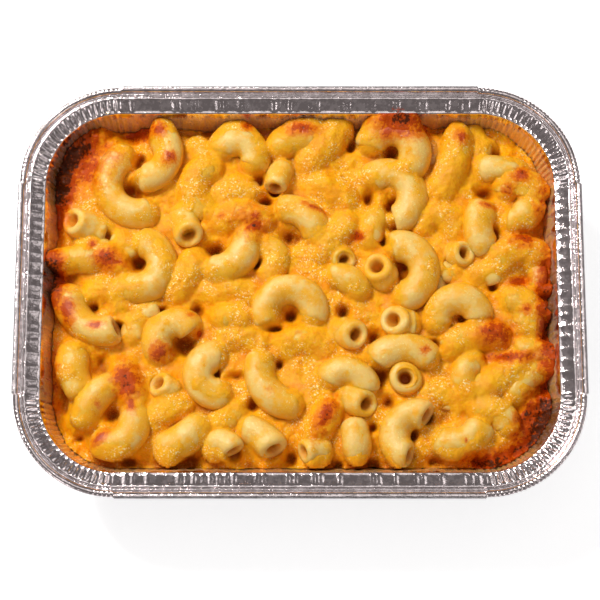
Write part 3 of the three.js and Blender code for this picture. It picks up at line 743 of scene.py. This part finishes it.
def pressed(walk, place, profile):
    """Inset and height of each station's (rows) section (columns): the profile's own, with ribs on the
    shoulder, flutes and creases on the wall, a crinkled flange, and the corners' curled edge crimped."""
    inset, z, shoulder, wall, bead = (profile[:, c][None] for c in range(5))
    in_corner = (place >= 0) * 1.0
    ripple = rim_ripples(walk, place)
    z = z + RIB_HEIGHT * ripple * shoulder
    inset = inset - RIB_BULGE * ripple * shoulder
    flutes = np.abs(((place * PLEATS) % 1) * 2 - 1) * 2 - 1
    inset = inset + wall * in_corner * FLUTE_DEPTH * flutes * smooth(6, 30, z)
    creases = wander(walk, z * 0.08, 1.3, 91) + 0.6 * wander(walk, z * 0.2, 0.8, 92)
    inset = inset + wall * (1 - 0.35 * in_corner) * CREASE_DEPTH * creases
    inset = inset + wall * WALL_SWAY * wander(walk, z, 14, 93)
    z = z + (1 - bead) * smooth(33, 35, z) * CRINKLE * wander(walk, inset, 3.2, 94)
    finer = in_corner * smooth(35.6, 36.4, z) * CORNER_CRINKLE
    z = z + (1 - bead) * finer * wander(walk, inset * 2, 0.8, 97)
    crimp = 1 + np.sin(walk * 2 * math.pi / CRIMP_PITCH) * (0.5 + 0.7 * wander(walk, 0, 4, 95))
    inset = inset + bead * in_corner * (STRAIGHT_PROUD + CRIMP_DEPTH * crimp)
    z = z - bead * (in_corner * CRIMP_DEPTH * crimp + BEAD_SAG * (1 + wander(walk, 0, 6, 96)))
    return np.maximum(inset, 0), np.clip(z, 0, HEIGHT)


def foil_piece(material):
    """The pressed section carried round the rim: point = arc middle + outward (corner radius - inset). Rings
    far inside shrink towards the base's middle, where both skins close on a point."""
    station, profile = tray_stations(), tray_profile()
    walk, place = station[:, 4, None], station[:, 5, None]
    inset, z = pressed(walk, place, profile)
    out = CORNER_RADIUS - np.minimum(inset, RING_INSET)
    shrink = 1 - np.clip((inset - RING_INSET) / RING_SPAN, 0, 1)
    x = (station[:, 0, None] + station[:, 2, None] * out) * shrink
    y = (station[:, 1, None] + station[:, 3, None] * out) * shrink
    points = np.stack([x, y, z], -1).reshape(-1, 3)
    points = np.concatenate([points, [[0, 0, BASE_TOP], [0, 0, BASE_UNDER]]])
    index = np.arange(z.size).reshape(z.shape)
    beside = np.roll(index, -1, 0)
    quads = np.stack([index[:, :-1], index[:, 1:], beside[:, 1:], beside[:, :-1]], -1)
    faces = quads.reshape(-1, 4).tolist()
    faces += np.stack([np.full(len(index), z.size), index[:, 0], beside[:, 0]], 1).tolist()
    faces += np.stack([index[:, -1], np.full(len(index), z.size + 1), beside[:, -1]], 1).tolist()

    def everywhere(values, poles):
        """Values for the whole grid, and for the two closing points."""
        return np.append(np.broadcast_to(values, z.shape).ravel(), poles)

    px, py, pz = points.T
    run, skin = everywhere(walk, (0, 0)), everywhere(profile[:, 5], (1, -1))
    # the curled edge's underside, which gets painted shade
    rolled = everywhere(profile[:, 4] * smooth(1.1, 0.3, inset), (0, 0))
    reach = GLAZE_LEVEL + 2.0 * wander(run, pz * 0.2, 7, 97) + 1.4 * wander(run, pz * 0.3, 1.6, 98)
    marks = {
        "stain": (skin > 0) * smooth(reach + 1.8, reach - 2.2, pz) * (pz < 34.2),
        # duller outer side, with painted shade on it and under the curled edge
        "dull_and_shaded": np.maximum(skin < 0, 0.9 * rolled),
        "burn": spots(px, py, DARK_GLAZE) * (skin > 0),
    }
    return make_mesh("foil_tray_pressed", points, faces, marks, material, ["foil_tray"])


# ---------------------------------------------------------------- materials
class Paint:
    """A material's node tree, with short calls for the nodes that the materials here share."""

    def __init__(self, name):
        self.material = bpy.data.materials.new(name)
        self.material.use_nodes = True
        self.tree = self.material.node_tree
        self.shader = self.tree.nodes["Principled BSDF"]

    def put(self, socket, value):
        """Links a socket, or sets a plain value."""
        if isinstance(value, bpy.types.NodeSocket):
            self.tree.links.new(value, socket)
        else:
            socket.default_value = value

    def mark(self, name):
        """A named attribute of the mesh, as a number."""
        node = self.tree.nodes.new("ShaderNodeAttribute")
        node.attribute_name = name
        return node.outputs["Fac"]

    def noise(self, scale, detail=3, rough=0.55, stretch=(1, 1, 1), shift=(0, 0, 0)):
        """Noise in Object coordinates, scale in lumps per metre."""
        place = self.tree.nodes.new("ShaderNodeTexCoord")
        mapping = self.tree.nodes.new("ShaderNodeMapping")
        mapping.inputs["Scale"].default_value = stretch
        mapping.inputs["Location"].default_value = shift
        node = self.tree.nodes.new("ShaderNodeTexNoise")
        self.tree.links.new(place.outputs["Object"], mapping.inputs["Vector"])
        self.tree.links.new(mapping.outputs["Vector"], node.inputs["Vector"])
        node.inputs["Scale"].default_value = scale
        node.inputs["Detail"].default_value = detail
        node.inputs["Roughness"].default_value = rough
        return node.outputs["Fac"]

    def calc(self, kind, a, b=0.0, c=0.0):
        """One step of arithmetic."""
        node = self.tree.nodes.new("ShaderNodeMath")
        node.operation = kind
        for socket, value in zip(node.inputs, (a, b, c)):
            self.put(socket, value)
        return node.outputs[0]

    def span(self, value, low, high, to_low=0.0, to_high=1.0):
        """value from low..high eased onto to_low..to_high."""
        node = self.tree.nodes.new("ShaderNodeMapRange")
        node.interpolation_type = "SMOOTHSTEP"
        ends = {"Value": value, "From Min": low, "From Max": high, "To Min": to_low, "To Max": to_high}
        for key, item in ends.items():
            self.put(node.inputs[key], item)
        return node.outputs["Result"]

    def blend(self, share, first, second):
        """Colour first going to colour second by share."""
        node = self.tree.nodes.new("ShaderNodeMix")
        node.data_type = "RGBA"
        self.put(node.inputs["Factor"], share)
        for key, item in (("A", first), ("B", second)):
            socket = [s for s in node.inputs if s.name == key and s.type == "RGBA"][0]
            self.put(socket, item)
        return [s for s in node.outputs if s.type == "RGBA"][0]

    def bump(self, height, distance, strength=1.0, under=None):
        """Bump from a height in 0..1 times distance in metres."""
        node = self.tree.nodes.new("ShaderNodeBump")
        node.inputs["Distance"].default_value = distance
        node.inputs["Strength"].default_value = strength
        self.put(node.inputs["Height"], height)
        if under is not None:
            self.tree.links.new(under, node.inputs["Normal"])
        return node.outputs["Normal"]

    def set(self, **values):
        """Sets or links the shader's sockets, by name with _ for a space."""
        for key, value in values.items():
            self.put(self.shader.inputs[key.replace("_", " ")], value)


PASTA_PALE = (0.84, 0.56, 0.15, 1)
# deeper orange of pasta under sauce, also used as painted shade on the tubes' sides
PASTA_DEEP_AND_SHADE = (0.88, 0.43, 0.015, 1)
SAUCE_BRIGHT = (0.93, 0.43, 0.004, 1)
SAUCE_ORANGE = (0.90, 0.31, 0.001, 1)
# painted shade in the sauce's hollows and on the low parts of the elbows
SAUCE_IN_SHADE = (0.40, 0.09, 0.001, 1)
# pale flecks of cheese, partly a painted sparkle of light
FLECK_AND_SPARKLE = (0.97, 0.62, 0.06, 1)
# a painted highlight: glints of light on the fat
PAINTED_GLINT = (1.0, 0.86, 0.40, 1)
SPECK = (0.74, 0.23, 0.001, 1)
# sauce inside a tube's bore, with painted shade
BORE_SAUCE_AND_SHADE = (0.68, 0.30, 0.03, 1)
TOASTED = (0.76, 0.19, 0.0, 1)
BROWN = (0.49, 0.058, 0.0, 1)
BURNT = (0.08, 0.014, 0.002, 1)
GRAIN, FINE_GRAIN = (1300, 3, 0.6), (2300, 2, 0.6)  # noises: lumps per metre, detail and roughness


def browned(p, colour, grain):
    """The browning laid over a colour, toasted, then brown, then burnt, as the mark and the grain add up.
    Also gives that sum."""
    uneven = p.calc("SUBTRACT", grain, 0.5)
    uneven = p.calc("MULTIPLY", uneven, p.span(p.mark("brown"), 0.3, 1.2, 0.5, 2.2))
    heat = p.calc("ADD", uneven, p.mark("brown"))
    colour = p.blend(p.span(heat, 0.08, 0.42), colour, TOASTED)
    colour = p.blend(p.span(heat, 0.42, 0.68), colour, BROWN)
    return p.blend(p.span(heat, 1.0, 1.5), colour, BURNT), heat


def varied(p, value, by, amount):
    """A value made uneven: (by - 0.5) * amount is added to it."""
    return p.calc("MULTIPLY_ADD", p.calc("SUBTRACT", by, 0.5), amount, value)


def dotted(p, colour, dots, patches, more, least, dot_colour):
    """Dots of a colour laid over another, by dots * (more * patches + least)."""
    share = p.calc("MULTIPLY", dots, p.calc("MULTIPLY_ADD", patches, more, least))
    return p.blend(share, colour, dot_colour)


def painted_glints(p, low, high, hidden):
    """Small pale glints of light on fat, painted as dots of colour, but none where hidden is 1."""
    dots = p.span(p.noise(1600, 2, 0.5, shift=(5, 3, 1)), low, high)
    return p.calc("MULTIPLY", dots, p.calc("SUBTRACT", 1.0, hidden))


def wet_coat(p, fine, grain, depth):
    """Normal of the wet film: the two grains, rougher than the surface under it."""
    return p.bump(fine, 0.00014, 1.0, p.bump(grain, depth))


def sauce_material():
    """Melted cheddar: orange, paler as a thin skin over pasta, with painted shade in the gaps and hollows, an
    oily grain of specks and pale flecks that are partly painted sparkle, and painted glints of light.
    """
    p = Paint("baked cheese sauce")
    grain, fine = p.noise(*GRAIN), p.noise(*FINE_GRAIN)
    shade = varied(p, p.noise(230, 3), grain, 0.7)
    colour = p.blend(p.span(shade, 0.34, 0.64), SAUCE_ORANGE, SAUCE_BRIGHT)
    colour = p.blend(p.calc("MULTIPLY", p.mark("thin"), 0.6), colour, PASTA_DEEP_AND_SHADE)
    # painted shade: the sauce goes darker down in its hollows and gaps
    colour = p.blend(p.mark("hollow_shade"), colour, SAUCE_IN_SHADE)
    grain_and_glint_patches = p.span(p.noise(130, 2, 0.5, shift=(3, 1, 2)), 0.45, 0.6)
    colour = dotted(p, colour, p.span(grain, 0.47, 0.34), grain_and_glint_patches, 0.4, 0.15, SPECK)
    # pale flecks of cheese that also stand in for sparkle of light
    colour = dotted(p, colour, p.span(fine, 0.52, 0.66), grain_and_glint_patches, 0.34, 0.06, FLECK_AND_SPARKLE)
    # painted highlights: glints of light painted as pale dots
    glints = painted_glints(p, 0.57, 0.66, p.mark("hollow_shade"))
    colour = dotted(p, colour, glints, grain_and_glint_patches, 0.85, 0.04, PAINTED_GLINT)
    colour, heat = browned(p, colour, grain)
    normal = p.bump(grain, 0.0004, 0.8)
    normal = p.bump(fine, 0.0001, 0.8, normal)
    p.set(
        Base_Color=colour, Roughness=p.span(fine, 0.3, 0.7, 0.3, 0.45), Normal=normal,
        Coat_Weight=p.span(heat, 0.3, 0.8, 0.3, 0.18), Coat_Roughness=0.07,
        Coat_Normal=wet_coat(p, fine, grain, 0.0005), Specular_IOR_Level=0.08,
        Subsurface_Weight=p.span(heat, 0.2, 0.7, 0.14, 0.02), Subsurface_Radius=(1.0, 0.42, 0.1),
        Subsurface_Scale=0.002,
    )
    return p.material


def pasta_material():
    """Cooked pasta: smooth, pale yellow and moist, with painted shade that keeps the tops pale and turns the
    sides and low parts deeper, orange where it goes down into the sauce, and painted glints of light.
    """
    p = Paint("cooked elbow pasta")
    patch, grain, fine = p.noise(210, 4, 0.6), p.noise(*GRAIN), p.noise(*FINE_GRAIN)
    shade = p.calc("MULTIPLY_ADD", p.mark("tint"), 0.1, patch)
    colour = p.blend(p.span(shade, 0.36, 0.56), PASTA_DEEP_AND_SHADE, PASTA_PALE)
    proud = varied(p, p.mark("proud"), patch, 1.1)
    colour = p.blend(p.span(proud, 0.6, 0.0), colour, PASTA_DEEP_AND_SHADE)
    # painted shade: the tube's sides go deeper orange and its top stays pale, as if lit from above
    crown_shade = varied(p, p.mark("crown_shade"), patch, 0.9)
    colour = p.blend(p.span(crown_shade, 0.95, 0.35, 0.0, 0.9), colour, PASTA_DEEP_AND_SHADE)
    # painted shade: the lower an elbow lies, the darker
    colour = p.blend(p.span(p.mark("hollow_shade"), 0.1, 1.0), colour, SAUCE_IN_SHADE)
    # the bore: sauce inside it, darkened further by painted shade
    colour = p.blend(p.span(p.mark("inside"), 0.6, 1.0, 0.0, 0.9), colour, BORE_SAUCE_AND_SHADE)
    # patches of film with pale flecks, partly painted sparkle, and painted glints of light
    film_and_glint_patches = p.span(p.noise(150, 2, 0.5, shift=(1, 4, 2)), 0.42, 0.62)
    colour = dotted(p, colour, p.span(fine, 0.53, 0.68), film_and_glint_patches, 0.3, 0.1, FLECK_AND_SPARKLE)
    # painted highlights: glints of light on the moist film
    glints = painted_glints(p, 0.59, 0.72, p.mark("inside"))
    colour = dotted(p, colour, glints, film_and_glint_patches, 0.5, 0.1, PAINTED_GLINT)
    colour, heat = browned(p, colour, grain)
    normal = p.bump(patch, 0.0006, 0.4)
    normal = p.bump(grain, 0.0003, 0.7, normal)
    normal = p.bump(fine, 0.00008, 0.7, normal)
    p.set(
        Base_Color=colour, Roughness=p.span(grain, 0.3, 0.7, 0.34, 0.5), Normal=normal,
        Coat_Weight=p.span(heat, 0.3, 0.8, 0.5, 0.2), Coat_Roughness=0.1,
        Coat_Normal=wet_coat(p, fine, grain, 0.0003), Specular_IOR_Level=0.25,
        Subsurface_Weight=p.span(heat, 0.2, 0.7, 0.4, 0.02), Subsurface_Radius=(1.0, 0.55, 0.2),
        Subsurface_Scale=0.003,
    )
    return p.material


FOIL_COLOUR = (0.92, 0.81, 0.805, 1)
FOIL_SHADE = (0.50, 0.43, 0.425, 1)  # in its fine creases
# the duller side that faces out, darkened further as painted shade
FOIL_DULL_AND_SHADED = (0.36, 0.34, 0.35, 1)  # the side that faces out
GLAZE_LIGHT = (0.90, 0.57, 0.16, 1)
GLAZE_DARK = (0.36, 0.15, 0.04, 1)


def foil_material():
    """Bright pressed foil with fine creases, painted darker in them as shade, glazed brown by baked-on sauce
    near the food, and duller on the side that faces out, with painted shade there and under the curled edge.
    """
    p = Paint("pressed foil")
    crease = p.noise(420, 4, 0.6)
    fine = p.noise(2600, 2)
    streak = p.noise(700, 3, 0.6, (1, 1, 0.12))
    stain = p.calc("MULTIPLY", p.mark("stain"), p.span(streak, 0.25, 0.6, 0.55, 1.0))
    uneven = p.calc("MULTIPLY_ADD", streak, 0.5, p.calc("MULTIPLY", crease, 0.35))
    char = p.calc("ADD", p.mark("burn"), uneven)
    glaze = p.blend(p.span(char, 0.45, 1.1), GLAZE_LIGHT, GLAZE_DARK)
    plain = p.blend(p.span(crease, 0.4, 0.56, 0.0, 0.55), FOIL_COLOUR, FOIL_SHADE)
    # painted shade: the outer side and the curled edge's underside darker
    plain = p.blend(p.mark("dull_and_shaded"), plain, FOIL_DULL_AND_SHADED)
    colour = p.blend(stain, plain, glaze)
    streaky = p.calc("ADD", p.calc("ADD", p.mark("dull_and_shaded"), p.mark("stain")), 0.22)
    normal = p.bump(p.calc("MULTIPLY", streak, streaky), 0.0009, 0.5)
    normal = p.bump(crease, 0.0004, 0.35, normal)
    normal = p.bump(fine, 0.00006, 0.35, normal)
    shiny = p.span(fine, 0.3, 0.7, 0.09, 0.16)
    p.set(
        Base_Color=colour, Metallic=p.span(stain, 0.2, 0.9, 1.0, 0.42), Normal=normal,
        Roughness=p.calc("MULTIPLY_ADD", p.mark("dull_and_shaded"), 0.24, shiny),
    )
    return p.material


# ---------------------------------------------------------------- floor, lights and camera, in metres
FLOOR_HALF = 1.5
MIDDLE = (0, 0, 0.03)
# name, place, size, watts and colour
SOFT_LIGHTS = (
    ("key", (-0.41, 0.50, 0.77), 0.3, 8.0, (1, 0.99, 0.97)),
    ("spark", (-0.48, 0.38, 0.79), 0.05, 1.3, (1, 1, 1)),
    ("right", (0.66, -0.02, 0.75), 0.4, 0.26, (1, 1, 1)),
    ("overhead", (0, 0.15, 0.97), 0.6, 0.9, (1, 1, 1)),
)
# name, turn round the tray in degrees, height and watts
SIDE_LIGHTS = (
    ("far_right", 55, 0.19, 0.5), ("far_left", 125, 0.19, 0.5),
    ("near_left", 224, 0.42, 0.85), ("near_right", 316, 0.42, 0.85),
)
SIDE_LIGHT_AWAY, SIDE_LIGHT_SIZE = 0.9, 0.38
SURROUND_COLOUR, SURROUND_STRENGTH = (1, 0.95, 0.95, 1), 0.17


def floor_piece():
    """A plain pale sheet under the tray."""
    mesh = bpy.data.meshes.new("floor")
    c = FLOOR_HALF
    mesh.from_pydata([(-c, -c, 0), (c, -c, 0), (c, c, 0), (-c, c, 0)], [], [(0, 1, 2, 3)])
    floor = bpy.data.objects.new("floor", mesh)
    bpy.context.collection.objects.link(floor)
    p = Paint("pale floor")
    p.set(Base_Color=(0.92, 0.92, 0.92, 1), Roughness=0.9)
    p.set(Emission_Color=(1, 1, 1, 1), Emission_Strength=0.65)
    mesh.materials.append(p.material)


def area_light(name, place, size, power, colour=(1, 1, 1)):
    """A square soft light at place, turned to face the food."""
    data = bpy.data.lights.new(name, "AREA")
    data.size = size
    data.energy = power
    data.color = colour
    lamp = bpy.data.objects.new(name, data)
    lamp.location = place
    lamp.rotation_euler = (Vector(MIDDLE) - Vector(place)).to_track_quat("-Z", "Y").to_euler()
    lamp.visible_camera = False
    bpy.context.collection.objects.link(lamp)


def studio():
    """Broad soft lights all round, strongest at the far left, under a dim even surround, so that the foil's
    ribs have both bright and dark to mirror."""
    for name, place, size, power, colour in SOFT_LIGHTS:
        area_light(name, place, size, power, colour)
    for name, turn, rise, power in SIDE_LIGHTS:
        a = math.radians(turn)
        place = (SIDE_LIGHT_AWAY * math.cos(a), SIDE_LIGHT_AWAY * math.sin(a), rise)
        area_light(name, place, SIDE_LIGHT_SIZE, power)
    world = bpy.data.worlds.new("surround")
    world.use_nodes = True
    world.node_tree.nodes["Background"].inputs["Color"].default_value = SURROUND_COLOUR
    world.node_tree.nodes["Background"].inputs["Strength"].default_value = SURROUND_STRENGTH
    bpy.context.scene.world = world


CAMERA_RISE = math.radians(78)
CAMERA_AWAY = 0.549
RIM_LEVEL = 0.0369
AIM_NEARER = 0.004
SENSOR, LENS = 36, 104.5  # in millimetres


def camera():
    """A long lens nearly straight above, a little to the near side."""
    data = bpy.data.cameras.new("camera")
    data.sensor_width = SENSOR
    data.lens = LENS
    eye = bpy.data.objects.new("camera", data)
    away = Vector((0, -math.cos(CAMERA_RISE), math.sin(CAMERA_RISE))) * CAMERA_AWAY
    eye.location = away + Vector((0, 0, RIM_LEVEL))
    aim = Vector((0, -AIM_NEARER, RIM_LEVEL))
    eye.rotation_euler = (aim - eye.location).to_track_quat("-Z", "Y").to_euler()
    bpy.context.collection.objects.link(eye)
    bpy.context.scene.camera = eye


foil_piece(foil_material())
sauce_piece(sauce_material())
elbows_piece(pasta_material())
floor_piece()
studio()
camera()
bpy.context.scene.view_settings.view_transform = "Standard"
